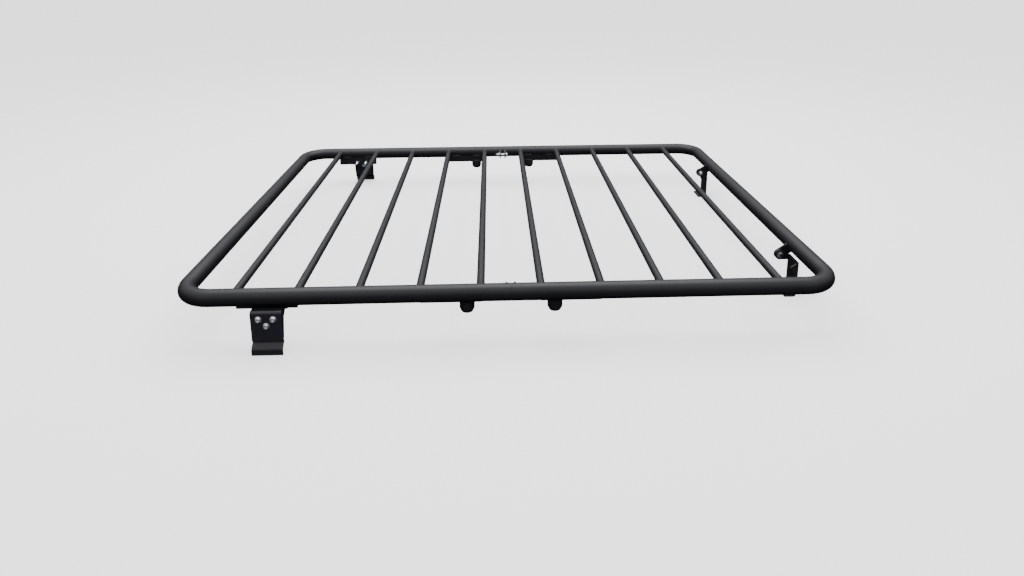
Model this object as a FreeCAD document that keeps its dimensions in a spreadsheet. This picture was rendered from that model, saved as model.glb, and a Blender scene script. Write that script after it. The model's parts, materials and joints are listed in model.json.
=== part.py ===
"""Flat tubular roof rack: two bent frame halves, ten cross bars, gutter brackets, rear brackets, rubber feet.

Millimetres. +X points to the rear of the rack, +Y to its right side, +Z up. The origin lies under the middle
of the rack, at the level of the bracket feet. Every height below is taken from the rails' centre plane,
which stands ride_height over the feet.
"""
import FreeCAD, Part
import os
import Sketcher
from FreeCAD import Vector

SIZES = {
    "rack_length": (1535, "outer length, front to rear"),
    "rack_width": (1194, "outer width, side to side"),
    "ride_height": (120, "rail centre plane above the bracket feet"),
    "rail_dia": (40, "outer diameter of the bent frame tube"),
    "rail_wall": (2, "wall of the frame tube"),
    "corner_radius": (70, "bend of the frame tube, to its centre line"),
    "seam_gap": (0.6, "hairline where the two frame halves butt"),
    "bar_dia": (19.05, "outer diameter of a cross bar"),
    "bar_wall": (1.5, "wall of a cross bar"),
    "end_bay": (122, "end rail to the outermost cross bar, centre to centre"),
    "weld_gap": (0.2, "fit-up gap at a welded seat"),
    "plate_thick": (4, "plates under the rails"),
    "plate_drop": (33, "lower edge of a foot plate under the rail centre plane"),
    "mount_drop": (38, "lower edge of a front support plate under the rail centre plane"),
    "foot_top_dia": (35, "rubber foot, upper rim"),
    "foot_base_dia": (26, "rubber foot, where it rests on a roof"),
    "foot_drop": (55, "underside of a rubber foot under the rail centre plane"),
    "foot_rim": (19, "height of the foot's straight upper rim"),
    "foot_edge": (3, "rounding of the foot's lower edge"),
    "foot_grip": (7, "depth of the slot that grips the support plate"),
    "foot_clear": (0.3, "clearance of that slot, each side"),
    "foot_offset": (38, "foot centre from the middle of its bay, towards the seam"),
    "tab_gap": (14, "clear space between the two ears of the middle joint"),
    "tab_thick": (5, "ears of the middle joint and rear lugs"),
    "tab_width": (27, "width of an ear, its round end included"),
    "tab_reach": (29, "bolt of the middle joint from the rail's centre line"),
    "tab_angle": (10, "fall of the middle joint's ears below level, degrees"),
    "bolt_hole": (8.5, "clearance hole for an 8 mm bolt"),
    "sheet_thick": (4, "folded steel of hangers and gutter brackets"),
    "bend_radius": (3, "inside radius of a fold"),
    "hanger_width": (69, "width of a hanger, and of the gutter hook below it"),
    "hanger_offset": (13, "hanger centre from the middle of the front mount's bay, rearwards"),
    "hanger_reach": (33, "outer face of a hanger from the rail's centre line"),
    "knee_clear": (2, "hanger's lower edge above the knee of the gutter hook"),
    "hanger_bolt_drop": (30.7, "pair of bolts through support plate and hanger"),
    "hanger_bolt_hole": (6.6, "clearance hole for a 6 mm bolt"),
    "return_depth": (40, "depth of a hanger's side returns under the rail"),
    "return_waist": (19, "depth of the side returns at their waist"),
    "return_waist_drop": (40, "waist of the side returns under the rail centre plane"),
    "return_toe": (8, "depth of the side returns at their lower end"),
    "tongue_clear": (1.5, "gutter bracket's tongue to each side return"),
    "tongue_drop": (30, "top of that tongue under the rail centre plane"),
    "hook_out": (14, "outward run of the gutter hook"),
    "hook_angle": (47, "turn of the gutter hook from upright, degrees"),
    "lip_height": (14, "down-turned lip of the gutter hook"),
    "bolt_spread": (33, "upper pair of bracket bolts, centre to centre"),
    "bolt_drop": (38, "upper pair of bracket bolts under the rail centre plane"),
    "bolt_step": (16, "third bracket bolt below the upper pair"),
    "ear_place": (350, "rear bracket's ear from the rack's centre line"),
    "lug_reach": (46, "rear bracket's bolt from the rail's centre line"),
    "lug_angle": (34, "fall of the rear lugs below level, degrees"),
    "rear_thick": (5, "rear bracket plate"),
    "rear_width": (55, "width of a rear bracket across its leg"),
    "rear_leg_back": (28, "rear bracket's leg behind its bolt"),
    "rear_foot": (30, "forward run of the rear bracket's foot"),
    "rear_flange": (20, "depth of the rear bracket's outer flange"),
    "rear_flange_drop": (70, "lower end of that flange under the rail centre plane"),
    "foot_hole_in": (10, "bolt hole of the rear bracket's foot from its toe"),
}
BAR_COUNT = 10
TOUCH = 0.01  # mm within which an edge counts as lying at a place
SIDES = {"left": -1, "right": 1}
HALVES = {"front": -1, "rear": 1}

doc = FreeCAD.newDocument("roof_rack")
sheet = doc.addObject("Spreadsheet::Sheet", "Sizes")
for row, (alias, (number, meaning)) in enumerate(SIZES.items(), start=1):
    sheet.set(f"A{row}", meaning)
    sheet.set(f"B{row}", str(number))
    sheet.setAlias(f"B{row}", alias)
doc.recompute()

# Places that several pieces share, as expressions on the sheet
HEIGHT = "Sizes.ride_height"
RAIL_Y = "((Sizes.rack_width - Sizes.rail_dia) / 2)"
RAIL_X = "((Sizes.rack_length - Sizes.rail_dia) / 2)"
RAIL_SEAT = "(Sizes.rail_dia / 2 + Sizes.weld_gap)"
BAR_SEAT = "(Sizes.bar_dia / 2 + Sizes.weld_gap)"
PLATE_OUTER = f"({RAIL_Y} - sqrt({RAIL_SEAT} ^ 2 - {BAR_SEAT} ^ 2))"
PLATE_INNER = f"({PLATE_OUTER} - Sizes.plate_thick)"
FACE_OUTER = f"({RAIL_Y} + Sizes.hanger_reach)"
FACE_INNER = f"({FACE_OUTER} - Sizes.sheet_thick)"
BAR_PITCH = f"((2 * {RAIL_X} - 2 * Sizes.end_bay) / {BAR_COUNT - 1})"
FRONT_BAY = f"(-{BAR_COUNT / 2 - 1} * {BAR_PITCH})"
HANGER_X = f"({FRONT_BAY} + Sizes.hanger_offset)"
HOOK_KNEE = "(Sizes.lip_height + Sizes.hook_out / tan(Sizes.hook_angle * 1 deg))"
HANGER_LOW = f"({HOOK_KNEE} + Sizes.knee_clear)"
LUG_X = f"({RAIL_X} - Sizes.lug_reach * cos(Sizes.lug_angle * 1 deg))"
LUG_Z = f"({HEIGHT} - Sizes.lug_reach * sin(Sizes.lug_angle * 1 deg))"
parts = []


def at(expression):
    """Number that an expression on the sheet gives now."""
    return float(sheet.evalExpression(str(expression)))


def new_body(label):
    """Empty body whose label names its file."""
    body = doc.addObject("PartDesign::Body", label)
    body.Label = label
    parts.append(body)
    return body


def move(body, x="0", y="0", z="0"):
    """Tie the body's place to the sheet."""
    for axis, expression in zip("xyz", (x, y, z)):
        body.setExpression(f"Placement.Base.{axis}", expression)


def new_sketch(body, plane, name, lift="0"):
    """Sketch on one of the body's own origin planes, lifted along that plane's normal."""
    sketch = body.newObject("Sketcher::SketchObject", name)
    support = [feature for feature in body.Origin.OriginFeatures if feature.Role == f"{plane}_Plane"]
    sketch.AttachmentSupport = (support[0], "")
    sketch.MapMode = "FlatFace"
    sketch.setExpression("AttachmentOffset.Base.z", lift)
    return sketch


def tie(sketch, kind, refs, expression):
    """Dimension bound to the sheet."""
    number = sketch.addConstraint(Sketcher.Constraint(kind, *refs, at(expression)))
    sketch.setExpression(f"Constraints[{number}]", str(expression))


def pin(sketch, geometry, point, x, y):
    """Fix a point of the sketch by its two distances from the origin."""
    tie(sketch, "DistanceX", (-1, 1, geometry, point), x)
    tie(sketch, "DistanceY", (-1, 1, geometry, point), y)


def add_circle(sketch, x, y, diameter):
    """Circle with its centre and diameter bound to the sheet."""
    centre = Vector(at(x), at(y), 0)
    number = sketch.addGeometry(Part.Circle(centre, Vector(0, 0, 1), at(diameter) / 2))
    pin(sketch, number, 3, x, y)
    tie(sketch, "Diameter", (number,), diameter)


def add_outline(sketch, corners):
    """Closed run of lines through corners given as pairs of expressions."""
    points = [Vector(at(x), at(y), 0) for x, y in corners]
    count = len(points)
    lines = [sketch.addGeometry(Part.LineSegment(points[i], points[(i + 1) % count])) for i in range(count)]
    for i in range(count):
        sketch.addConstraint(Sketcher.Constraint("Coincident", lines[i], 2, lines[(i + 1) % count], 1))
        pin(sketch, lines[i], 1, *corners[i])


def pad(body, sketch, length, side="Symmetric", back=False):
    """Pad a sketch by a length on the sheet."""
    feature = body.newObject("PartDesign::Pad", f"{sketch.Name}_pad")
    feature.Profile = sketch
    feature.SideType = side
    feature.Reversed = back
    feature.setExpression("Length", length)
    doc.recompute()
    return feature


def cut_through(body, sketch, depth=None):
    """Pocket a sketch both ways, through the body or over a depth, and see that it removed something."""
    before = body.Shape.Volume
    feature = body.newObject("PartDesign::Pocket", f"{sketch.Name}_cut")
    feature.Profile = sketch
    feature.SideType = "Symmetric"
    feature.Type = "Length" if depth else "ThroughAll"
    if depth:
        feature.setExpression("Length", depth)
    doc.recompute()
    if not body.Shape.Volume < before:
        raise RuntimeError(f"{body.Label}: {sketch.Label} cuts nothing")
    return feature


def round_folds(body, axis, folds):
    """Round the edges that run along an axis (0 x, 1 y, 2 z) through points, each with its radius."""
    across = [i for i in range(3) if i != axis]
    for radius in dict.fromkeys(radius for point, radius in folds):
        base = body.Tip
        names = []
        for point in [point for point, other in folds if other == radius]:
            wanted = [at(number) for number in point]
            for number, edge in enumerate(base.Shape.Edges, start=1):
                middle = edge.CenterOfMass
                box = edge.BoundBox
                along = (box.XLength, box.YLength, box.ZLength)[axis]
                near = all(abs(middle[i] - value) < TOUCH for i, value in zip(across, wanted))
                if near and abs(along - edge.Length) < TOUCH:
                    names.append(f"Edge{number}")
        fillet = body.newObject("PartDesign::Fillet", "Fold")
        fillet.Base = (base, names)
        fillet.setExpression("Radius", radius)
        doc.recompute()


def frame_half(half):
    """One bent tube: from the seam along a side rail, round two corners and back along the other side."""
    way = HALVES[half]
    body = new_body(f"{half}_frame_tube")
    end = f"({way} * {RAIL_X})"
    seam = f"({way} * Sizes.seam_gap / 2)"
    turn = f"({way} * ({RAIL_X} - Sizes.corner_radius))"
    inset = f"({RAIL_Y} - Sizes.corner_radius)"
    stops = [(seam, f"-{RAIL_Y}"), (turn, f"-{RAIL_Y}"), (end, f"-{inset}"),
             (end, inset), (turn, RAIL_Y), (seam, RAIL_Y)]
    points = [Vector(at(x), at(y), 0) for x, y in stops]
    path = new_sketch(body, "XY", f"{half}_path", HEIGHT)
    bend = at("Sizes.corner_radius")
    slant = bend * 0.5 ** 0.5
    runs = []
    for first in (0, 2, 4):
        runs.append(path.addGeometry(Part.LineSegment(points[first], points[first + 1])))
        pin(path, runs[-1], 1, *stops[first])
        pin(path, runs[-1], 2, *stops[first + 1])
    for i, sign in ((0, -1), (1, 1)):
        start, stop = points[2 * i + 1], points[2 * i + 2]
        centre = Vector(at(turn), sign * at(inset), 0)
        middle = centre + Vector(way * slant, sign * slant, 0)
        arc = path.addGeometry(Part.Arc(start, middle, stop))
        ends = sorted((1, 2), key=lambda point: path.getPoint(arc, point).distanceToPoint(start))
        path.addConstraint(Sketcher.Constraint("Coincident", arc, ends[0], runs[i], 2))
        path.addConstraint(Sketcher.Constraint("Coincident", arc, ends[1], runs[i + 1], 1))
        tie(path, "Radius", (arc,), "Sizes.corner_radius")
    section = new_sketch(body, "YZ", f"{half}_section", seam)
    add_circle(section, f"-{RAIL_Y}", HEIGHT, "Sizes.rail_dia")
    add_circle(section, f"-{RAIL_Y}", HEIGHT, "(Sizes.rail_dia - 2 * Sizes.rail_wall)")
    pipe = body.newObject("PartDesign::AdditivePipe", f"{half}_pipe")
    pipe.Profile = section
    pipe.Spine = path
    doc.recompute()


def cross_bar(number):
    """Tube between the side rails, its ends coped to the rails' round."""
    body = new_body(f"cross_bar_{number:02d}")
    move(body, x=f"{number - (BAR_COUNT + 1) / 2} * {BAR_PITCH}")
    section = new_sketch(body, "XZ", f"bar_{number}_section")
    add_circle(section, "0", HEIGHT, "Sizes.bar_dia")
    add_circle(section, "0", HEIGHT, "(Sizes.bar_dia - 2 * Sizes.bar_wall)")
    pad(body, section, f"2 * {RAIL_Y}")
    cope = new_sketch(body, "YZ", f"bar_{number}_cope")
    add_circle(cope, f"-{RAIL_Y}", HEIGHT, f"2 * {RAIL_SEAT}")
    add_circle(cope, RAIL_Y, HEIGHT, f"2 * {RAIL_SEAT}")
    cut_through(body, cope)


def support_plate(name, side, bay, drop, holes=False):
    """Upright plate that spans a bay, under the cross bars and against the inner side of the rail."""
    way = SIDES[side]
    body = new_body(f"{name}_{side}")
    move(body, x=bay)
    low = f"{HEIGHT} - {drop}"
    top = f"{HEIGHT} - {BAR_SEAT}"
    face = new_sketch(body, "YZ", f"{name}_{side}_face")
    outer = f"{way} * {PLATE_OUTER}"
    inner = f"{way} * {PLATE_INNER}"
    add_outline(face, [(inner, low), (outer, low), (outer, top), (inner, top)])
    pad(body, face, BAR_PITCH)
    if holes:
        drill = new_sketch(body, "XZ", f"{name}_{side}_holes")
        for sign in (-1, 1):
            along = f"Sizes.hanger_offset + {sign} * Sizes.bolt_spread / 2"
            add_circle(drill, along, f"{HEIGHT} - Sizes.hanger_bolt_drop", "Sizes.hanger_bolt_hole")
        cut_through(body, drill)


def rubber_foot(half, side):
    """Turned rubber foot, slotted on top to grip the lower edge of its support plate."""
    name = f"rubber_foot_{half}_{side}"
    body = new_body(name)
    place = f"{HALVES[half]} * ({BAR_PITCH} - Sizes.foot_offset)"
    move(body, x=place, y=f"{SIDES[side]} * ({PLATE_OUTER} - Sizes.plate_thick / 2)")
    base = f"{HEIGHT} - Sizes.foot_drop"
    top = f"{HEIGHT} - Sizes.plate_drop + Sizes.foot_grip - Sizes.foot_clear"
    outline = new_sketch(body, "XZ", f"{name}_outline")
    rim = "Sizes.foot_top_dia / 2"
    add_outline(outline, [("0", base), ("Sizes.foot_base_dia / 2", base), (rim, f"{top} - Sizes.foot_rim"),
                          (rim, top), ("0", top)])
    turned = body.newObject("PartDesign::Revolution", f"{name}_turned")
    turned.Profile = outline
    turned.ReferenceAxis = (outline, ["V_Axis"])
    turned.Angle = 360
    doc.recompute()
    edges = [f"Edge{i}" for i, edge in enumerate(turned.Shape.Edges, start=1)
             if abs(edge.BoundBox.ZMax - at(base)) < TOUCH and edge.BoundBox.ZLength < TOUCH]
    rounded = body.newObject("PartDesign::Fillet", f"{name}_edge")
    rounded.Base = (turned, edges)
    rounded.setExpression("Radius", "Sizes.foot_edge")
    doc.recompute()
    slot = new_sketch(body, "YZ", f"{name}_slot")
    half_slot = "(Sizes.plate_thick / 2 + Sizes.foot_clear)"
    floor = f"{top} - Sizes.foot_grip"
    mouth = f"{top} + Sizes.foot_grip"
    add_outline(slot, [(f"-{half_slot}", floor), (half_slot, floor), (half_slot, mouth),
                       (f"-{half_slot}", mouth)])
    cut_through(body, slot)


def lug(name, reach, placement):
    """Ear with a round end and a bolt hole, coped to the rail; it points along its own -X from the rail."""
    body = new_body(name)
    body.setExpression("Placement", placement)
    half = "Sizes.tab_width / 2"
    arm = new_sketch(body, "XZ", f"{name}_arm")
    add_outline(arm, [("0", f"-{half}"), ("0", half), (f"-{reach}", half), (f"-{reach}", f"-{half}")])
    pad(body, arm, "Sizes.tab_thick")
    tip = new_sketch(body, "XZ", f"{name}_tip")
    add_circle(tip, f"-{reach}", "0", "Sizes.tab_width")
    pad(body, tip, "Sizes.tab_thick")
    drill = new_sketch(body, "XZ", f"{name}_hole")
    add_circle(drill, f"-{reach}", "0", "Sizes.bolt_hole")
    cut_through(body, drill)
    cope = new_sketch(body, "XZ", f"{name}_cope")
    add_circle(cope, "0", "0", f"2 * {RAIL_SEAT}")
    cut_through(body, cope)


def joint_tab(half, side):
    """Ear of the middle joint, welded to the inner side of a side rail beside the seam."""
    way = SIDES[side]
    x = f"{HALVES[half]} * (Sizes.tab_gap + Sizes.tab_thick) / 2"
    spot = f"create(<<vector>>; {x}; {way} * {RAIL_Y}; {HEIGHT})"
    heading = 90 * way
    turn = f"create(<<rotation>>; {heading}; -Sizes.tab_angle; 0)"
    lug(f"joint_tab_{half}_{side}", "Sizes.tab_reach", f"create(<<placement>>; {spot}; {turn})")


def rear_lug(side):
    """Ear under the rear rail that carries a rear bracket."""
    y = f"{SIDES[side]} * (Sizes.ear_place - Sizes.tab_thick / 2)"
    spot = f"create(<<vector>>; {RAIL_X}; {y}; {HEIGHT})"
    turn = "create(<<rotation>>; 0; -Sizes.lug_angle; 0)"
    lug(f"rear_lug_{side}", "Sizes.lug_reach", f"create(<<placement>>; {spot}; {turn})")


def hanger(side):
    """Folded channel under the rail: inner leg on the support plate, outer leg with side returns."""
    way = SIDES[side]
    name = f"front_hanger_{side}"
    body = new_body(name)
    move(body, x=HANGER_X)
    top = f"({HEIGHT} - {RAIL_SEAT})"
    under = f"({top} - Sizes.sheet_thick)"
    inner_low = f"({HEIGHT} - Sizes.mount_drop)"
    inner = f"{way} * {PLATE_OUTER}"
    inner_back = f"{way} * ({PLATE_OUTER} + Sizes.sheet_thick)"
    outer = f"{way} * {FACE_OUTER}"
    outer_back = f"{way} * {FACE_INNER}"
    fold = new_sketch(body, "YZ", f"{name}_fold")
    add_outline(fold, [(inner, inner_low), (inner, top), (outer, top), (outer, HANGER_LOW),
                       (outer_back, HANGER_LOW), (outer_back, under), (inner_back, under),
                       (inner_back, inner_low)])
    pad(body, fold, "Sizes.hanger_width")
    tight = "Sizes.bend_radius"
    wide = "Sizes.bend_radius + Sizes.sheet_thick"
    round_folds(body, 0, [((inner, top), wide), ((outer, top), wide),
                          ((inner_back, under), tight), ((outer_back, under), tight)])
    deep = f"{way} * ({FACE_OUTER} - Sizes.return_depth)"
    waist = (f"{way} * ({FACE_OUTER} - Sizes.return_waist)", f"{HEIGHT} - Sizes.return_waist_drop")
    toe = f"{way} * ({FACE_OUTER} - Sizes.return_toe)"
    foot = f"({HANGER_LOW} + Sizes.bend_radius)"
    for hand, sign in HALVES.items():
        wall = f"({sign} * (Sizes.hanger_width - Sizes.sheet_thick) / 2)"
        web = new_sketch(body, "YZ", f"{name}_{hand}_return", wall)
        add_outline(web, [(outer_back, under), (deep, under), waist, (toe, foot), (outer_back, foot)])
        pad(body, web, "Sizes.sheet_thick")
    inner_leg = f"({-way} * ({PLATE_OUTER} + Sizes.sheet_thick / 2))"
    pair = new_sketch(body, "XZ", f"{name}_plate_holes", inner_leg)
    for sign in (-1, 1):
        along = f"{sign} * Sizes.bolt_spread / 2"
        add_circle(pair, along, f"{HEIGHT} - Sizes.hanger_bolt_drop", "Sizes.hanger_bolt_hole")
    cut_through(body, pair, "2 * Sizes.sheet_thick")
    drill = new_sketch(body, "XZ", f"{name}_bracket_holes")
    bracket_holes(drill)
    cut_through(body, drill)


def bracket_holes(sketch):
    """Triangle of three bolts that hold a gutter bracket to its hanger."""
    upper = f"{HEIGHT} - Sizes.bolt_drop"
    add_circle(sketch, "-Sizes.bolt_spread / 2", upper, "Sizes.bolt_hole")
    add_circle(sketch, "Sizes.bolt_spread / 2", upper, "Sizes.bolt_hole")
    add_circle(sketch, "0", f"{upper} - Sizes.bolt_step", "Sizes.bolt_hole")


def gutter_bracket(side):
    """Folded bracket: tongue behind the hanger's outer leg, then a hook that slopes out and turns down."""
    way = SIDES[side]
    name = f"gutter_bracket_{side}"
    body = new_body(name)
    move(body, x=HANGER_X)
    top = f"({HEIGHT} - Sizes.tongue_drop)"
    hip = "Sizes.lip_height"
    mitre = "Sizes.sheet_thick * tan(Sizes.hook_angle / 2 * 1 deg)"
    face = f"{way} * {FACE_INNER}"
    face_back = f"{way} * ({FACE_INNER} - Sizes.sheet_thick)"
    low_back = f"{HOOK_KNEE} - {mitre}"
    lip = f"{way} * ({FACE_INNER} + Sizes.hook_out)"
    lip_back = f"{way} * ({FACE_INNER} - Sizes.sheet_thick + Sizes.hook_out)"
    fold = new_sketch(body, "YZ", f"{name}_fold")
    add_outline(fold, [(face, top), (face, HOOK_KNEE), (lip, hip), (lip, "0"), (lip_back, "0"),
                       (lip_back, f"{hip} - {mitre}"), (face_back, low_back), (face_back, top)])
    pad(body, fold, "Sizes.hanger_width")
    wide = "Sizes.bend_radius + Sizes.sheet_thick"
    round_folds(body, 0, [((face, HOOK_KNEE), "Sizes.bend_radius"), ((face_back, low_back), wide),
                          ((lip, hip), wide), ((lip_back, f"{hip} - {mitre}"), "Sizes.bend_radius")])
    notch = new_sketch(body, "XZ", f"{name}_shoulders")
    for sign in (-1, 1):
        edge = f"{sign} * (Sizes.hanger_width / 2 - Sizes.sheet_thick - Sizes.tongue_clear)"
        past = f"{sign} * Sizes.hanger_width"
        add_outline(notch, [(edge, HANGER_LOW), (past, HANGER_LOW), (past, HEIGHT), (edge, HEIGHT)])
    cut_through(body, notch)
    drill = new_sketch(body, "XZ", f"{name}_holes")
    bracket_holes(drill)
    cut_through(body, drill)


def rear_bracket(side):
    """Rear bracket: ear bolted to the rear lug, leg behind it, foot folded forward, stiffening flange."""
    way = SIDES[side]
    name = f"rear_bracket_{side}"
    body = new_body(name)
    move(body, y=f"{way} * Sizes.ear_place")
    leg = f"({LUG_X} + Sizes.rear_leg_back)"
    leg_front = f"({leg} - Sizes.rear_thick)"
    toe = f"({leg} - Sizes.rear_foot)"
    fold = new_sketch(body, "XZ", f"{name}_fold")
    add_outline(fold, [(leg, "0"), (leg, LUG_Z), (leg_front, LUG_Z), (leg_front, "Sizes.rear_thick"),
                       (toe, "Sizes.rear_thick"), (toe, "0")])
    pad(body, fold, "Sizes.rear_width", "One side", way > 0)
    round_folds(body, 1, [((leg, "0"), "Sizes.bend_radius + Sizes.rear_thick"),
                          ((leg_front, "Sizes.rear_thick"), "Sizes.bend_radius")])
    half = "Sizes.tab_width / 2"
    ear = new_sketch(body, "XZ", f"{name}_ear")
    add_outline(ear, [(LUG_X, f"{LUG_Z} - {half}"), (leg, f"{LUG_Z} - {half}"), (leg, LUG_Z), (LUG_X, LUG_Z)])
    pad(body, ear, "Sizes.rear_thick", "One side", way > 0)
    tip = new_sketch(body, "XZ", f"{name}_tip")
    add_circle(tip, LUG_X, LUG_Z, "Sizes.tab_width")
    pad(body, tip, "Sizes.rear_thick", "One side", way > 0)
    web = new_sketch(body, "XZ", f"{name}_flange", f"({-way} * (Sizes.rear_width - Sizes.rear_thick))")
    low = f"({HEIGHT} - Sizes.rear_flange_drop)"
    add_outline(web, [(leg, LUG_Z), (f"{leg} - Sizes.rear_flange", f"{LUG_Z} - {half}"),
                      (leg_front, low), (leg, low)])
    pad(body, web, "Sizes.rear_thick", "One side", way > 0)
    drill = new_sketch(body, "XZ", f"{name}_hole")
    add_circle(drill, LUG_X, LUG_Z, "Sizes.bolt_hole")
    cut_through(body, drill)
    screw = new_sketch(body, "XY", f"{name}_foot_hole")
    add_circle(screw, f"{toe} + Sizes.foot_hole_in", f"{way} * Sizes.rear_width / 2", "Sizes.bolt_hole")
    cut_through(body, screw)


for half in HALVES:
    frame_half(half)
for number in range(1, BAR_COUNT + 1):
    cross_bar(number)
for side in SIDES:
    support_plate("front_support_plate", side, FRONT_BAY, "Sizes.mount_drop", holes=True)
    for half in HALVES:
        support_plate(f"{half}_foot_plate", side, f"{HALVES[half]} * {BAR_PITCH}", "Sizes.plate_drop")
        rubber_foot(half, side)
        joint_tab(half, side)
    hanger(side)
    gutter_bracket(side)
    rear_lug(side)
    rear_bracket(side)

doc.recompute()
for item in doc.Objects:
    if "Invalid" in item.State or "Error" in item.State:
        raise RuntimeError(f"{item.Label}: {item.State}")
for body in parts:
    if body.Shape.isNull() or not body.Shape.isValid() or len(body.Shape.Solids) != 1:
        raise RuntimeError(f"{body.Label}: not one sound solid")

os.makedirs("parts", exist_ok=True)
for body in parts:
    body.Shape.exportStep(f"parts/{body.Label}.step")
    print(body.Label, round(body.Shape.Volume / 1000, 2), "cm3")
print(len(parts), "pieces")
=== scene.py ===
# %% [markdown]
# # A flat tubular roof rack
# The rack is two bent steel tubes that butt in the middle, ten thinner cross bars welded between them, hooked
# brackets at the front, footed brackets at the rear, and rubber feet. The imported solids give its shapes. This
# lesson adds what a solid model leaves out: the powder coat, the weld beads, the bolts and the light.

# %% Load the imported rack
import json
import math

import bmesh
import bpy
from mathutils import Matrix, Vector


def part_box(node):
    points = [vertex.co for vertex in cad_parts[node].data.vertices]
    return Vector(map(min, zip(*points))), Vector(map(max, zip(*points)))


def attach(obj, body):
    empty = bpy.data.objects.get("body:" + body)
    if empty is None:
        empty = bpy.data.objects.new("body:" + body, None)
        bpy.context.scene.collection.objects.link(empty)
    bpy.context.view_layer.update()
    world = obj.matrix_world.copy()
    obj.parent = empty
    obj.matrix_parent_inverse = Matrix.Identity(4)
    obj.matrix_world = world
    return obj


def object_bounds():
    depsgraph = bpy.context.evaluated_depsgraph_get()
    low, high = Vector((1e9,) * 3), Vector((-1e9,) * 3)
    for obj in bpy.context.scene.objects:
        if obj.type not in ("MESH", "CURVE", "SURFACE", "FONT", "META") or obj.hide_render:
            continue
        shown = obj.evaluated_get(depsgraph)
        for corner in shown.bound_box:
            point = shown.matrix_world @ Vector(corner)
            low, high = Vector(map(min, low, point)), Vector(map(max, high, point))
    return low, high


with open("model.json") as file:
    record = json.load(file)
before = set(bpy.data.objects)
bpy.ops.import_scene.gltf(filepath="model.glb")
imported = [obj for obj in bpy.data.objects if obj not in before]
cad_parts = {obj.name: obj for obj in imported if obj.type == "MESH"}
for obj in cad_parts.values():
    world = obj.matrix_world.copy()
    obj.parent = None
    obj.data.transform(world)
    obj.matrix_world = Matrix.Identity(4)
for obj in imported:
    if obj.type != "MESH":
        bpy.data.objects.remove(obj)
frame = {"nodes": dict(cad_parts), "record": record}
cad_low, cad_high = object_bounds()
MM = 0.001
SIDES = {"left": -1, "right": 1}
print("nodes", len(frame["nodes"]), "box", [round(v, 4) for v in (*cad_low, *cad_high)])

# %% [markdown]
# ## Places read from the solids
# The rail's diameter, its centre plane and the bars' places could be typed in again. Here they come from the
# boxes of the loaded nodes, so the added pieces sit where the solids are.

# %% Read the rails and bars
front_low, front_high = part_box("front_frame_tube")
rear_low, rear_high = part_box("rear_frame_tube")
RAIL_R = (front_high.z - front_low.z) / 2
RAIL_Z = (front_high.z + front_low.z) / 2
RAIL_Y = front_high.y - RAIL_R
RAIL_X = rear_high.x - RAIL_R
bars = sorted(name for name in frame["nodes"] if name.startswith("cross_bar"))
BAR_X = [sum(corner.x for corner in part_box(name)) / 2 for name in bars]
BAR_R = (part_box(bars[0])[1].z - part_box(bars[0])[0].z) / 2
print("rail radius", round(RAIL_R / MM, 2), "bar radius", round(BAR_R / MM, 2), "bars", len(BAR_X))

# %% [markdown]
# ## The camera
# The picture was taken from above the near side. Its upright edges hardly lean together, so the camera
# looked only a little down, and the picture is the lower part of what the lens saw. A shift of the lens does
# the same here. Turn, tilt and roll were worked out from the frame's corners and the bars' ends.

# %% Set the camera
CAMERA_PLACE = Vector((-37.0, -1999.6, 737.0)) * MM + Vector((0, 0, RAIL_Z))
YAW = math.radians(1.672)
TILT = math.radians(13)
ROLL = math.radians(-0.406)
FOCAL_PX = 686.71
PICTURE_PX = (1024, 576)
AXIS_ROW_PX = 115.58
SENSOR = 36.0

ahead = Vector((math.sin(YAW) * math.cos(TILT), math.cos(YAW) * math.cos(TILT), -math.sin(TILT)))
level = Vector((math.cos(YAW), -math.sin(YAW), 0))
rise = level.cross(ahead)
across = level * math.cos(ROLL) + rise * math.sin(ROLL)
upward = rise * math.cos(ROLL) - level * math.sin(ROLL)
camera_data = bpy.data.cameras.new("photo_camera")
camera_data.sensor_width = SENSOR
camera_data.lens = SENSOR * FOCAL_PX / PICTURE_PX[0]
camera_data.shift_y = (AXIS_ROW_PX - PICTURE_PX[1] / 2) / PICTURE_PX[0]
camera = bpy.data.objects.new("photo_camera", camera_data)
turn = Matrix((across, upward, -ahead)).transposed().to_4x4()
camera.matrix_world = Matrix.Translation(CAMERA_PLACE) @ turn
bpy.context.scene.collection.objects.link(camera)
bpy.context.scene.camera = camera
print("lens", round(camera_data.lens, 2), "mm, shift", round(camera_data.shift_y, 4))

# %% [markdown]
# ## Colours and nodes
# Colours are written as sRGB hex, as a paint chart gives them, and turned to linear light once. One helper
# adds a shader node with its settings and its links, so each finish below reads as a short list.

# %% Helpers for finishes


def linear(code):
    """sRGB hex to linear colour with full alpha."""
    parts = [int(code[i:i + 2], 16) / 255 for i in (1, 3, 5)]
    return [v / 12.92 if v <= 0.04045 else ((v + 0.055) / 1.055) ** 2.4 for v in parts] + [1.0]


def add(tree, kind, inputs=None, **settings):
    """New shader node with its settings, and with each input set or linked."""
    made = tree.nodes.new(kind)
    for name, value in settings.items():
        setattr(made, name, value)
    for name, value in (inputs or {}).items():
        if isinstance(value, bpy.types.NodeSocket):
            tree.links.new(value, made.inputs[name])
        else:
            made.inputs[name].default_value = value
    return made


def new_finish(name):
    """Empty material with an output node."""
    material = bpy.data.materials.new(name)
    material.use_nodes = True
    material.node_tree.nodes.clear()
    return material, material.node_tree, add(material.node_tree, "ShaderNodeOutputMaterial")


# %% [markdown]
# ## Powder coat
# The steel is coated with textured polyester powder, sprayed dry and baked. It dries to a satin black with a
# fine orange peel: grains under a millimetre that spread the light's reflection into a soft grey band.

# %% Textured black powder coat


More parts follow.
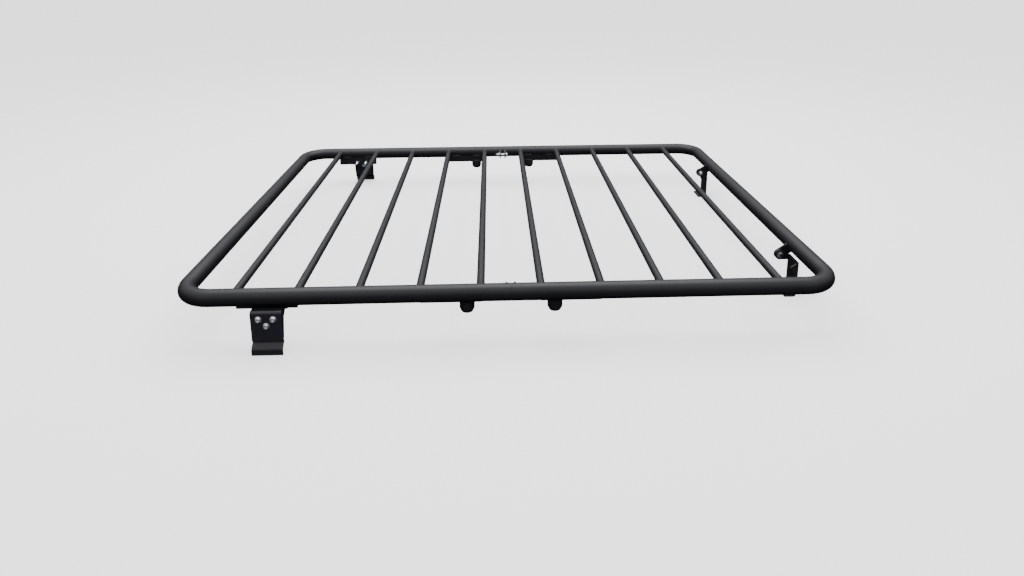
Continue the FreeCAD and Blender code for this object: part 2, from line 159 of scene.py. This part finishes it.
def powder_coat(name, dark, light, roughness, grain_mm=1.1, cloud_mm=90.0, peel_mm=0.05):
    """Satin black coat: clouded colour, grain in the bump and in the gloss."""
    material, tree, out = new_finish(name)
    place = add(tree, "ShaderNodeTexCoord").outputs["Object"]
    # Real grain is near 0.4 mm; it is drawn about a millimetre wide so that it shows
    grain = add(tree, "ShaderNodeTexNoise", {"Vector": place, "Scale": 1 / (grain_mm * MM), "Detail": 3.0,
                                             "Roughness": 0.6})
    cloud = add(tree, "ShaderNodeTexNoise", {"Vector": place, "Scale": 1 / (cloud_mm * MM), "Detail": 4.0,
                                             "Roughness": 0.55})
    tint = add(tree, "ShaderNodeValToRGB", {"Fac": cloud.outputs["Fac"]})
    tint.color_ramp.elements[0].position = 0.35
    tint.color_ramp.elements[0].color = linear(dark)
    tint.color_ramp.elements[1].position = 0.7
    tint.color_ramp.elements[1].color = linear(light)
    gloss = add(tree, "ShaderNodeMapRange", {"Value": grain.outputs["Fac"], "From Min": 0.3, "From Max": 0.7,
                                             "To Min": roughness - 0.05, "To Max": roughness + 0.07})
    peel = add(tree, "ShaderNodeBump", {"Height": grain.outputs["Fac"], "Strength": 0.5,
                                        "Distance": peel_mm * MM})
    coat = add(tree, "ShaderNodeBsdfPrincipled", {"Base Color": tint.outputs["Color"], "IOR": 1.5,
                                                  "Roughness": gloss.outputs["Result"],
                                                  "Normal": peel.outputs["Normal"]})
    tree.links.new(coat.outputs["BSDF"], out.inputs["Surface"])
    return material


frame_coat = powder_coat("textured_black_powder_coat_on_tube", "#131315", "#1A1A1C", 0.42)
# The brackets wear the frame's coat, a shade glossier, in a lighter copy: the lighter colour is painted light
# that brightens their faces and folds.
bracket_coat = powder_coat("textured_black_powder_coat_lightened_as_painted_light", "#1E1E21", "#27272A", 0.38)
print("coats", frame_coat.name, bracket_coat.name)

# %% [markdown]
# ## Rubber and zinc
# The feet are moulded rubber, matt and nearly black, with a faint bloom. The bolts are steel plated with
# bright zinc: a metal with a pale, cool shine and slightly uneven gloss from handling.

# %% Moulded rubber and zinc plate


def moulded_rubber(name):
    """Matt black rubber with a grey bloom in soft patches."""
    material, tree, out = new_finish(name)
    place = add(tree, "ShaderNodeTexCoord").outputs["Object"]
    bloom_mm, grain_mm, skin_mm = 14.0, 1.4, 0.06
    bloom = add(tree, "ShaderNodeTexNoise", {"Vector": place, "Scale": 1 / (bloom_mm * MM), "Detail": 3.0})
    grain = add(tree, "ShaderNodeTexNoise", {"Vector": place, "Scale": 1 / (grain_mm * MM), "Detail": 2.0})
    tint = add(tree, "ShaderNodeValToRGB", {"Fac": bloom.outputs["Fac"]})
    tint.color_ramp.elements[0].color = linear("#0C0C0D")
    tint.color_ramp.elements[1].color = linear("#1C1C1D")
    skin = add(tree, "ShaderNodeBump", {"Height": grain.outputs["Fac"], "Strength": 0.4,
                                        "Distance": skin_mm * MM})
    shader = add(tree, "ShaderNodeBsdfPrincipled", {"Base Color": tint.outputs["Color"], "Roughness": 0.72,
                                                    "IOR": 1.52, "Normal": skin.outputs["Normal"]})
    tree.links.new(shader.outputs["BSDF"], out.inputs["Surface"])
    return material


def zinc_plate(name):
    """Bright zinc on steel: metal with patchy gloss."""
    material, tree, out = new_finish(name)
    place = add(tree, "ShaderNodeTexCoord").outputs["Object"]
    patch_mm = 3.0
    patch = add(tree, "ShaderNodeTexNoise", {"Vector": place, "Scale": 1 / (patch_mm * MM), "Detail": 3.0})
    tint = add(tree, "ShaderNodeValToRGB", {"Fac": patch.outputs["Fac"]})
    tint.color_ramp.elements[0].color = linear("#E2E4E6")
    tint.color_ramp.elements[1].color = linear("#FAFAF8")
    gloss = add(tree, "ShaderNodeMapRange", {"Value": patch.outputs["Fac"], "To Min": 0.14, "To Max": 0.26})
    shader = add(tree, "ShaderNodeBsdfPrincipled", {"Base Color": tint.outputs["Color"], "Metallic": 1.0,
                                                    "Roughness": gloss.outputs["Result"]})
    tree.links.new(shader.outputs["BSDF"], out.inputs["Surface"])
    return material


rubber = moulded_rubber("moulded_black_rubber")
zinc = zinc_plate("bright_zinc_plated_steel")
SLOT_FINISH = {"frame_coat": frame_coat, "bracket_coat": bracket_coat, "rubber": rubber, "bolt_steel": zinc}
for row in frame["record"]["subparts"]:
    node_mesh = frame["nodes"][row["node"]].data
    node_mesh.materials.clear()
    node_mesh.materials.append(SLOT_FINISH[row["material_slot"]])

# %% [markdown]
# ## Pieces from bmesh
# Every added piece is shaped in a bmesh, in its final place. It then becomes one object that rides on the
# rack.

# %% Make a piece of a bmesh


def make_piece(name, bm, slot_name, sharp_deg=35):
    """Object at the origin with the slot's finish, smooth but for its sharp edges, riding on the rack."""
    bmesh.ops.recalc_face_normals(bm, faces=bm.faces)
    mesh = bpy.data.meshes.new(name)
    bm.to_mesh(mesh)
    bm.free()
    mesh.materials.append(SLOT_FINISH[slot_name])
    mesh.shade_smooth()
    mesh.set_sharp_from_angle(angle=math.radians(sharp_deg))
    made = bpy.data.objects.new(name, mesh)
    bpy.context.scene.collection.objects.link(made)
    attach(made, "root")
    print(name, len(mesh.polygons), "faces")
    return made


# %% [markdown]
# ## Weld beads at the cross bars
# Each bar's end is coped to the rail and welded all round. A bead is a ring of small overlapping ripples that
# lies on a saddle: where a thin round tube meets a thick one. Spinning a small circle gives the ring, and
# each of its points is then laid on the rail's round.

# %% Weld all twenty bar ends
BEAD_R = 2.3 * MM
BEAD_SIDES = 10
RING_STEPS = 72
RIPPLES = 22
RIPPLE_SHARE = 0.16


def saddle_bead(bm, x, way):
    """Rippled bead round one end of a cross bar."""
    known = set(bm.verts)
    ring = bmesh.ops.create_circle(bm, segments=BEAD_SIDES, radius=BEAD_R)["verts"]
    bmesh.ops.translate(bm, verts=ring, vec=(BAR_R, 0, 0))
    loop = list({edge for vert in ring for edge in vert.link_edges})
    bmesh.ops.spin(bm, geom=ring + loop, cent=(0, 0, 0), axis=(0, 1, 0), angle=math.tau, steps=RING_STEPS,
                   use_merge=True)
    for vert in set(bm.verts) - known:
        angle = math.atan2(vert.co.z, vert.co.x)
        swell = 1 + RIPPLE_SHARE * abs(math.sin(angle * RIPPLES / 2))
        out = (math.hypot(vert.co.x, vert.co.z) - BAR_R) * swell
        along = vert.co.y * swell
        height = (BAR_R + out) * math.sin(angle)
        seat = RAIL_Y - math.sqrt(RAIL_R ** 2 - height ** 2)
        vert.co = (x + (BAR_R + out) * math.cos(angle), way * (seat + along), RAIL_Z + height)


for side, way in SIDES.items():
    beads = bmesh.new()
    for x in BAR_X:
        saddle_bead(beads, x, way)
    make_piece(f"bar_weld_beads_{side}", beads, "frame_coat", 60)

# %% [markdown]
# ## Weld beads at the plates and ears
# The plates under the rails are stitched along their top edge, and each ear is welded along the curve where
# it meets its tube. A bead is first drawn out straight, then each of its points is laid along the seam. Its
# radius swells in ripples and closes in at both ends, where the torch started and stopped.

# %% A bead along a seam
SEAM_R = 1.9 * MM
RIPPLE = 4.2 * MM
STATION = 1.0 * MM
END_ROUND = 10
END_LEAST = 0.04


def bead(bm, seam, length):
    """Rippled bead: seam(share) gives its centre and two directions square to it, for a share of 0 to 1."""
    known = set(bm.verts)
    steps = round(length / STATION)
    rim = bmesh.ops.create_circle(bm, segments=BEAD_SIDES, radius=SEAM_R, cap_ends=True)["verts"]
    loop = list({edge for vert in rim for edge in vert.link_edges})
    drawn = bmesh.ops.spin(bm, geom=rim + loop, cent=(0, 0, 0), axis=(0, 0, 1), angle=0, steps=steps,
                           dvec=(0, 0, length / steps))["geom_last"]
    bmesh.ops.contextual_create(bm, geom=[item for item in drawn if isinstance(item, bmesh.types.BMEdge)])
    for vert in set(bm.verts) - known:
        share = vert.co.z / length
        angle = math.atan2(vert.co.y, vert.co.x)
        swell = 1 + RIPPLE_SHARE * abs(math.sin(math.pi * vert.co.z / RIPPLE))
        close = math.sqrt(max(END_LEAST, 1 - abs(2 * share - 1) ** END_ROUND))
        centre, first, second = seam(share)
        vert.co = centre + (first * math.cos(angle) + second * math.sin(angle)) * SEAM_R * swell * close


# %% Stitch the plates
STITCH = 30 * MM
BAR_CLEAR = 4 * MM
SEAM_IN = 1.4 * MM
SEAM_UP = 0.4 * MM
ALONG, ACROSS, UP = Vector((1, 0, 0)), Vector((0, 1, 0)), Vector((0, 0, 1))
plates = sorted(name for name in frame["nodes"] if "plate" in name)
for side, way in SIDES.items():
    stitches = bmesh.new()
    for name in plates:
        if not name.endswith(side):
            continue
        plate_low, plate_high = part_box(name)
        inset = BAR_R + BAR_CLEAR + STITCH / 2
        line_y = way * (max(abs(plate_low.y), abs(plate_high.y)) - SEAM_IN)
        for middle in (plate_low.x + inset, plate_high.x - inset):
            start = Vector((middle - STITCH / 2, line_y, plate_high.z + SEAM_UP))
            bead(stitches, lambda share: (start + ALONG * (STITCH * share), ACROSS, UP), STITCH)
    make_piece(f"plate_weld_beads_{side}", stitches, "frame_coat", 60)

# %% Weld the ears to their tubes
TAB_WIDTH = 27 * MM
TAB_THICK = 5 * MM
TAB_FALL = math.radians(10)
LUG_FALL = math.radians(34)
EAR_EDGE = math.radians(3)
EAR_OUT = 0.5 * MM
HALF_SPAN = math.asin(TAB_WIDTH / 2 / RAIL_R) - EAR_EDGE


def ear_bead(bm, axle, along, inward, fall):
    """Bead on a tube's round: axle is a point of the tube's axis level with the ear's face."""
    def seam(share):
        angle = fall + (2 * share - 1) * HALF_SPAN
        out = inward * math.cos(angle) - UP * math.sin(angle)
        return axle + out * (RAIL_R + EAR_OUT), along, out
    bead(bm, seam, 2 * HALF_SPAN * RAIL_R)


for side, way in SIDES.items():
    ears = bmesh.new()
    for half in ("front", "rear"):
        tab_low, tab_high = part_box(f"joint_tab_{half}_{side}")
        for x in (tab_low.x, tab_high.x):
            ear_bead(ears, Vector((x, way * RAIL_Y, RAIL_Z)), ALONG, Vector((0, -way, 0)), TAB_FALL)
    lug_low, lug_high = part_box(f"rear_lug_{side}")
    for y in (lug_low.y, lug_high.y):
        ear_bead(ears, Vector((RAIL_X, y, RAIL_Z)), ACROSS, -ALONG, LUG_FALL)
    make_piece(f"ear_weld_beads_{side}", ears, "frame_coat", 60)

# %% [markdown]
# ## Bolts
# The bolts are the only bright parts. A bolt, a nut and a washer are all turned or six-sided, so one helper
# makes them: it extrudes a ring of points upwards, and each ring is set to a round or a hexagon of its own
# radius. The grooves of a thread are rings too, close enough to the real helix at this size.

# %% Rings to turned pieces
ROUND_STEPS = 48
SIXTH = math.tau / 6


def turned(bm, rings, place):
    """Closed piece of rings (height, radius or half the flats, six-sided), in mm, moved to its place."""
    known = set(bm.verts)
    rim = bmesh.ops.create_circle(bm, segments=ROUND_STEPS, radius=1, cap_ends=True)["verts"]
    loop = list({edge for vert in rim for edge in vert.link_edges})
    for number, (height, radius, six_sided) in enumerate(rings):
        if number:
            grown = bmesh.ops.extrude_edge_only(bm, edges=loop)["geom"]
            rim = [item for item in grown if isinstance(item, bmesh.types.BMVert)]
            edges = [item for item in grown if isinstance(item, bmesh.types.BMEdge)]
            loop = [edge for edge in edges if set(edge.verts) <= set(rim)]
        for vert in rim:
            angle = math.atan2(vert.co.y, vert.co.x)
            reach = radius / math.cos(angle % SIXTH - SIXTH / 2) if six_sided else radius
            vert.co = (reach * math.cos(angle), reach * math.sin(angle), height)
    bmesh.ops.contextual_create(bm, geom=loop)
    fresh = list(set(bm.verts) - known)
    bmesh.ops.transform(bm, matrix=place @ Matrix.Scale(MM, 4), verts=fresh)


# %% A bolt with its nut and washers
M8 = {"radius": 4.0, "flats": 13.0, "head": 5.3, "nut": 6.5, "pitch": 1.25,
      "washer": 8.0, "washer_thick": 1.5}
M6 = {"radius": 3.0, "flats": 10.0, "head": 4.0, "nut": 5.0, "pitch": 1.0,
      "washer": 6.2, "washer_thick": 1.2}
# Shares of the thread's radius
TIP, TIP_LONG, GROOVE = 0.78, 0.2, 0.88
BUTTON, BUTTON_TALL, SOCKET = 1.75, 1.1, 0.625
# Shares of the button head's height, and the steps of its crown
BUTTON_EDGE, SOCKET_FLOOR = 0.15, 0.45
CROWN_STEPS = 5
# Shares of half the flats where a hexagon's corners are turned off, and the heights of those turnings in mm
HEAD_FOOT, HEAD_TOP, NUT_END = 0.95, 0.9, 0.92
FOOT_TALL, CHAMFER = 0.3, 0.6


def button_rings(radius, seat):
    """Rings of a domed head with a six-sided socket."""
    rim, crown, tall = BUTTON * radius, radius, BUTTON_TALL * radius
    rings = []
    for step in range(CROWN_STEPS + 1):
        arc = math.pi / 2 * step / CROWN_STEPS
        domed = seat + tall * (BUTTON_EDGE + (1 - BUTTON_EDGE) * math.sin(arc))
        rings.append((domed, crown + (rim - crown) * math.cos(arc), False))
    socket = SOCKET * radius
    return rings + [(seat + tall, socket, True), (seat + SOCKET_FLOOR * tall, socket, True)]


def hex_rings(low, high, half, foot_share, foot_tall, top_share):
    """Rings of a hexagon whose corners are turned off at both ends."""
    return [(low, foot_share * half, False), (low + foot_tall, half, True), (high - CHAMFER, half, True),
            (high, top_share * half, False)]


def bolt(bm, spot, heading, size, grip, tail, button=False, washer=True):
    """Bolt and nut: the head lies at a spot and points along a heading, the nut is at the grip's far end."""
    place = Matrix.Translation(spot) @ heading.to_track_quat("Z", "Y").to_matrix().to_4x4()
    radius, half = size["radius"], size["flats"] / 2
    thick = size["washer_thick"]
    tip = -(grip + thick + size["nut"] + tail)
    groove = tip + TIP_LONG * radius
    rings = [(tip, TIP * radius, False), (groove, radius, False)]
    while groove + size["pitch"] < -grip:
        rings.append((groove + size["pitch"] / 2, GROOVE * radius, False))
        rings.append((groove + size["pitch"], radius, False))
        groove += size["pitch"]
    rings.append((0, radius, False))
    if washer:
        rings += [(0, size["washer"], False), (thick, size["washer"], False)]
    seat = thick if washer else 0
    if button:
        rings += button_rings(radius, seat)
    else:
        rings += hex_rings(seat, seat + size["head"], half, HEAD_FOOT, FOOT_TALL, HEAD_TOP)
    turned(bm, rings, place)
    back = place @ Matrix.Translation((0, 0, -grip * MM)) @ Matrix.Rotation(math.pi, 4, "X")
    nut = [(0, size["washer"], False), (thick, size["washer"], False)]
    nut += hex_rings(thick, thick + size["nut"], half, NUT_END, CHAMFER, NUT_END)
    turned(bm, nut, back)


# %% Bolt the mounts together
# The holes' places repeat the part's own sizes, because the frame holds no hole centres
BOLT_SPREAD = 33 * MM
BOLT_DROP = 38 * MM
BOLT_STEP = 16 * MM
HANGER_BOLT_DROP = 30.7 * MM
SHEET = 4 * MM
TAB_REACH = 29 * MM
LUG_REACH = 46 * MM
HEAD_LIFT = 0.5 * MM
# How far each bolt's end passes its nut, in mm
GUTTER_TAIL, HANGER_TAIL, JOINT_TAIL, REAR_TAIL = 3.5, 18, 6, 4
for side, way in SIDES.items():
    outward = Vector((0, way, 0))
    hanger_low, hanger_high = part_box(f"front_hanger_{side}")
    face = max(abs(hanger_low.y), abs(hanger_high.y))
    leg = min(abs(hanger_low.y), abs(hanger_high.y))
    middle = (hanger_low.x + hanger_high.x) / 2
    gutter_bolts = bmesh.new()
    for x, drop in ((-BOLT_SPREAD / 2, 0), (BOLT_SPREAD / 2, 0), (0, BOLT_STEP)):
        spot = Vector((middle + x, way * face, RAIL_Z - BOLT_DROP - drop))
        bolt(gutter_bolts, spot, outward, M8, 2 * SHEET / MM, GUTTER_TAIL, button=True)
    make_piece(f"gutter_bolts_{side}", gutter_bolts, "bolt_steel")
    hanger_bolts = bmesh.new()
    for x in (-BOLT_SPREAD / 2, BOLT_SPREAD / 2):
        spot = Vector((middle + x, way * (leg + SHEET + HEAD_LIFT), RAIL_Z - HANGER_BOLT_DROP))
        bolt(hanger_bolts, spot, outward, M6, (2 * SHEET + HEAD_LIFT) / MM, HANGER_TAIL, washer=False)
    make_piece(f"hanger_bolts_{side}", hanger_bolts, "bolt_steel")
    front_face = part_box(f"joint_tab_front_{side}")[0].x
    rear_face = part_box(f"joint_tab_rear_{side}")[1].x
    joint_bolt = bmesh.new()
    reach = Vector((0, -way * math.cos(TAB_FALL), -math.sin(TAB_FALL))) * TAB_REACH
    spot = Vector((rear_face, way * RAIL_Y, RAIL_Z)) + reach
    bolt(joint_bolt, spot, ALONG, M8, (rear_face - front_face) / MM, JOINT_TAIL)
    make_piece(f"joint_bolt_{side}", joint_bolt, "bolt_steel")
    lug_low, lug_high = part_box(f"rear_lug_{side}")
    rear_bolt = bmesh.new()
    outer = max(abs(lug_low.y), abs(lug_high.y)) + TAB_THICK
    reach = Vector((-math.cos(LUG_FALL), 0, -math.sin(LUG_FALL))) * LUG_REACH
    spot = Vector((RAIL_X, way * outer, RAIL_Z)) + reach
    bolt(rear_bolt, spot, outward, M8, 2 * TAB_THICK / MM, REAR_TAIL)
    make_piece(f"rear_bolt_{side}", rear_bolt, "bolt_steel")

# %% [markdown]
# ## The seam in the middle
# The two halves butt against each other. Their solids stay a hairline apart, and light would shine through
# the gap. A thin disc of the same coat closes each seam just under the surface, so that only a dark line
# shows.

# %% Close both seams
SEAM_SINK = 1.6
SEAM_PLAY = 0.05
seam_x = (front_high.x + rear_low.x) / 2
seam_half = (rear_low.x - front_high.x) / 2 / MM - SEAM_PLAY
disc_radius = RAIL_R / MM - SEAM_SINK
for side, way in SIDES.items():
    seam_disc = bmesh.new()
    place = Matrix.Translation((seam_x, way * RAIL_Y, RAIL_Z)) @ Matrix.Rotation(math.radians(90), 4, "Y")
    turned(seam_disc, [(-seam_half, disc_radius, False), (seam_half, disc_radius, False)], place)
    make_piece(f"seam_disc_{side}", seam_disc, "frame_coat")

# %% [markdown]
# ## Floor and light
# A plain pale floor lies level with the bracket feet. A wide panel overhead, set a little behind the rack,
# draws a bright band along the top of every tube. A dome fills in the rest: white overhead, stronger behind
# the rack than before it, and nearly black below. A weak glow from the near side keeps the brackets' faces
# from going black. The floor takes the rack's shadow but sends no light back up, so the undersides of the
# tubes stay dark. Past the floor's edge the camera sees a plain pale backdrop, which lights nothing.

# %% Floor
FLOOR_HALF = 14.0
FLOOR_SINK = 0.2 * MM
FLOOR_GLOW = 1.2
PAPER = "#F4F4F3"
floor_bm = bmesh.new()
bmesh.ops.create_grid(floor_bm, x_segments=1, y_segments=1, size=FLOOR_HALF)
bmesh.ops.translate(floor_bm, verts=floor_bm.verts, vec=(0, 0, cad_low.z - FLOOR_SINK))
floor_mesh = bpy.data.meshes.new("floor")
floor_bm.to_mesh(floor_mesh)
floor_bm.free()
paper, paper_tree, paper_out = new_finish("pale_paper_floor")
paper_shader = add(paper_tree, "ShaderNodeBsdfPrincipled", {"Base Color": linear(PAPER), "Roughness": 0.9,
                                                            "Emission Color": linear("#FFFFFF"),
                                                            "Emission Strength": FLOOR_GLOW})
paper_tree.links.new(paper_shader.outputs["BSDF"], paper_out.inputs["Surface"])
floor_mesh.materials.append(paper)
floor = bpy.data.objects.new("floor", floor_mesh)
floor.visible_diffuse = False
floor.visible_glossy = False
bpy.context.scene.collection.objects.link(floor)
print("floor at", round(cad_low.z - FLOOR_SINK, 5))

# %% Dome
DOME_TONES = ((0.40, "#262628"), (0.50, "#47474A"), (0.60, "#7C7D82"), (0.85, "#FCFDFF"))
BEFORE, BEHIND = 0.95, 1.3
FILL, FILL_FROM, FILL_FULL = 0.21, -0.2, -0.9
dome = bpy.data.worlds.new("soft_dome")
dome.use_nodes = True
dome_tree = dome.node_tree
dome_tree.nodes.clear()
dome_out = add(dome_tree, "ShaderNodeOutputWorld")
around = add(dome_tree, "ShaderNodeTexCoord").outputs["Generated"]
aim = add(dome_tree, "ShaderNodeSeparateXYZ", {"Vector": around})
elevation = add(dome_tree, "ShaderNodeMapRange", {"Value": aim.outputs["Z"], "From Min": -1.0,
                                                  "From Max": 1.0})
depth = add(dome_tree, "ShaderNodeMapRange", {"Value": aim.outputs["Y"], "From Min": -1.0, "From Max": 1.0,
                                              "To Min": BEFORE, "To Max": BEHIND})
tones = add(dome_tree, "ShaderNodeValToRGB", {"Fac": elevation.outputs["Result"]})
stops = tones.color_ramp.elements
for number, (position, code) in enumerate(DOME_TONES):
    stop = stops[number] if number < len(stops) else stops.new(position)
    stop.position = position
    stop.color = linear(code)
glow = add(dome_tree, "ShaderNodeBackground", {"Color": tones.outputs["Color"],
                                               "Strength": depth.outputs["Result"]})
facing = add(dome_tree, "ShaderNodeMapRange", {"Value": aim.outputs["Y"], "From Min": FILL_FROM,
                                               "From Max": FILL_FULL, "To Min": 0.0, "To Max": FILL})
fill = add(dome_tree, "ShaderNodeBackground", {"Color": linear("#E9EAFF"),
                                               "Strength": facing.outputs["Result"]})
both = add(dome_tree, "ShaderNodeAddShader", {0: glow.outputs["Background"], 1: fill.outputs["Background"]})
print("dome tones", len(stops))

# %% Backdrop
BACKDROP = 2.25
seen = add(dome_tree, "ShaderNodeLightPath").outputs["Is Camera Ray"]
wall = add(dome_tree, "ShaderNodeBackground", {"Color": linear(PAPER), "Strength": BACKDROP})
picked = add(dome_tree, "ShaderNodeMixShader", {0: seen, 1: both.outputs["Shader"],
                                                2: wall.outputs["Background"]})
dome_tree.links.new(picked.outputs["Shader"], dome_out.inputs["Surface"])
bpy.context.scene.world = dome

# %% Overhead panel
PANEL_LONG, PANEL_DEEP = 3.4, 2.8
PANEL_BACK, PANEL_UP = 0.75, 2.3
PANEL_WATTS = 85
panel_data = bpy.data.lights.new("overhead_panel", "AREA")
panel_data.shape = "RECTANGLE"
panel_data.size = PANEL_LONG
panel_data.size_y = PANEL_DEEP
panel_data.energy = PANEL_WATTS
panel_data.color = (0.97, 0.98, 1.0)
panel = bpy.data.objects.new("overhead_panel", panel_data)
panel.location = (0, PANEL_BACK, RAIL_Z + PANEL_UP)
bpy.context.scene.collection.objects.link(panel)
print("panel", PANEL_LONG, "by", PANEL_DEEP, "m")
